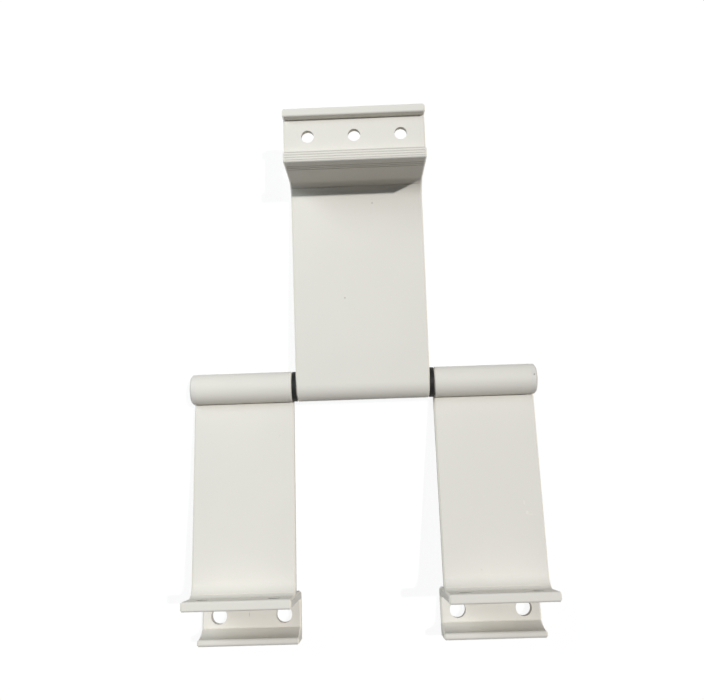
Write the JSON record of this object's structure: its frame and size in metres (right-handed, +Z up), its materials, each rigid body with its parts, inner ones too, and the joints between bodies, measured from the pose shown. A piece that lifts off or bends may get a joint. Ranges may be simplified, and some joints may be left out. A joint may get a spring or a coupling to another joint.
{
  "type": "door hinge",
  "caption": "Long-arm aluminium door hinge: outer leaves with stepped mounting feet turn on one pin beside a centre leaf with a raised screw flange.",
  "frame": {"origin": "on the resting plane, under the middle of the whole part as it lies", "axes": "+X along the pin, towards the right outer leaf; +Y towards the centre leaf's flange; +Z up from the resting plane"},
  "size_m": [0.1818, 0.2737, 0.053],
  "materials": {
    "white_coat": "satin white powder coat",
    "white_plastic": "satin white nylon",
    "black_nylon": "satin black nylon",
    "pin_steel": "ground stainless steel",
    "ring_steel": "dark spring steel",
    "screw_steel": "black oxide steel"
  },
  "bodies": {
    "centre": {"centre_leaf": "white_coat", "hinge_pin": "pin_steel", "centre_bush_left": "black_nylon", "centre_bush_right": "black_nylon", "left_retaining_ring": "ring_steel", "right_retaining_ring": "ring_steel", "left_grub_screw": "screw_steel", "right_grub_screw": "screw_steel"},
    "left": {"left_leaf": "white_coat", "left_inner_bush": "black_nylon", "left_outer_bush": "black_nylon", "left_end_cap": "white_plastic"},
    "right": {"right_leaf": "white_coat", "right_inner_bush": "black_nylon", "right_outer_bush": "black_nylon", "right_end_cap": "white_plastic"}
  },
  "joints": [
    {"name": "left_leaf_turn", "type": "hinge", "parent": "centre", "child": "left", "pos_m": [0, -0.00088, 0.008], "axis": [1, 0, 0], "range_deg": [-172.36, 7.64]},
    {"name": "right_leaf_turn", "type": "hinge", "parent": "centre", "child": "right", "pos_m": [0, -0.00088, 0.008], "axis": [1, 0, 0], "range_deg": [-172.36, 7.64]}
  ]
}
